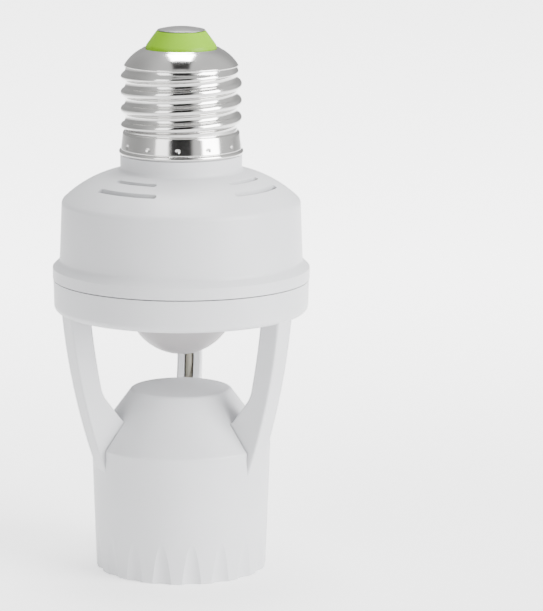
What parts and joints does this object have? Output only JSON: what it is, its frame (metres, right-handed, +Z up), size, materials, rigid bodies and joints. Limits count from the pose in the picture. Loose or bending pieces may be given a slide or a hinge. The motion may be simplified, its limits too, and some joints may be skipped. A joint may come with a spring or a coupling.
{
  "type": "motion sensor lamp holder",
  "caption": "Screw-in lamp holder with a motion sensor: screw cap, domed housing over a sensor ring with a dome lens, and a lamp socket hung below on arms.",
  "frame": {"origin": "centre of the lamp socket's rim, which the part stands on", "axes": "+Z up along the screw axis to the screw cap's end contact, +X to the right seen from the front, the front faces -Y"},
  "size_m": [0.0556, 0.0556, 0.1185],
  "materials": {
    "white_plastic": "satin moulded",
    "nickel": "plated, polished",
    "green_insulator": "cast, glossy",
    "grey_metal": "satin",
    "milky_plastic": "translucent, milky",
    "board_green": "lacquered laminate",
    "zinc_steel": "zinc plated",
    "brass": "bare",
    "relay_blue": "moulded",
    "film_yellow": "dipped box",
    "black_plastic": "moulded",
    "trimmer_blue": "moulded",
    "cell_red": "lacquered face",
    "resistor_grey": "lacquered",
    "liner_white": "moulded",
    "lead_grey": "insulated",
    "lead_red": "insulated",
    "lead_blue": "insulated"
  },
  "bodies": {
    "holder": {"lower_frame": "white_plastic", "upper_housing": "white_plastic", "cap_shell": "nickel", "cap_insulator": "green_insulator", "cap_contact": "grey_metal", "pir_lens": "milky_plastic", "circuit_board": "board_green", "housing_screws": "zinc_steel", "board_screws": "zinc_steel", "time_trimmer": "trimmer_blue", "lux_trimmer": "trimmer_blue", "pir_sensor": "zinc_steel", "photocell": "cell_red", "relay": "relay_blue", "dropper_capacitor": "film_yellow", "bridge_rectifier": "black_plastic", "filter_capacitor": "black_plastic", "sensor_chip": "black_plastic", "fuse_resistor": "resistor_grey", "socket_liner": "liner_white", "screw_shell": "nickel", "centre_contact": "brass", "shell_rivets": "brass", "contact_rivet": "brass", "socket_screws": "zinc_steel", "socket_neutral_lead": "lead_grey", "socket_live_lead": "lead_grey", "cap_live_lead": "lead_red", "cap_neutral_lead": "lead_blue"},
    "time_knob": {"time_knob": "white_plastic"},
    "lux_knob": {"lux_knob": "white_plastic"}
  },
  "joints": [
    {"name": "time_turn", "type": "hinge", "parent": "holder", "child": "time_knob", "pos_m": [-0.00803, -0.01722, 0.0584], "axis": [0, 0, 1], "range_deg": [-135, 135]},
    {"name": "lux_turn", "type": "hinge", "parent": "holder", "child": "lux_knob", "pos_m": [0.00492, -0.01835, 0.0584], "axis": [0, 0, 1], "range_deg": [-135, 135]}
  ]
}
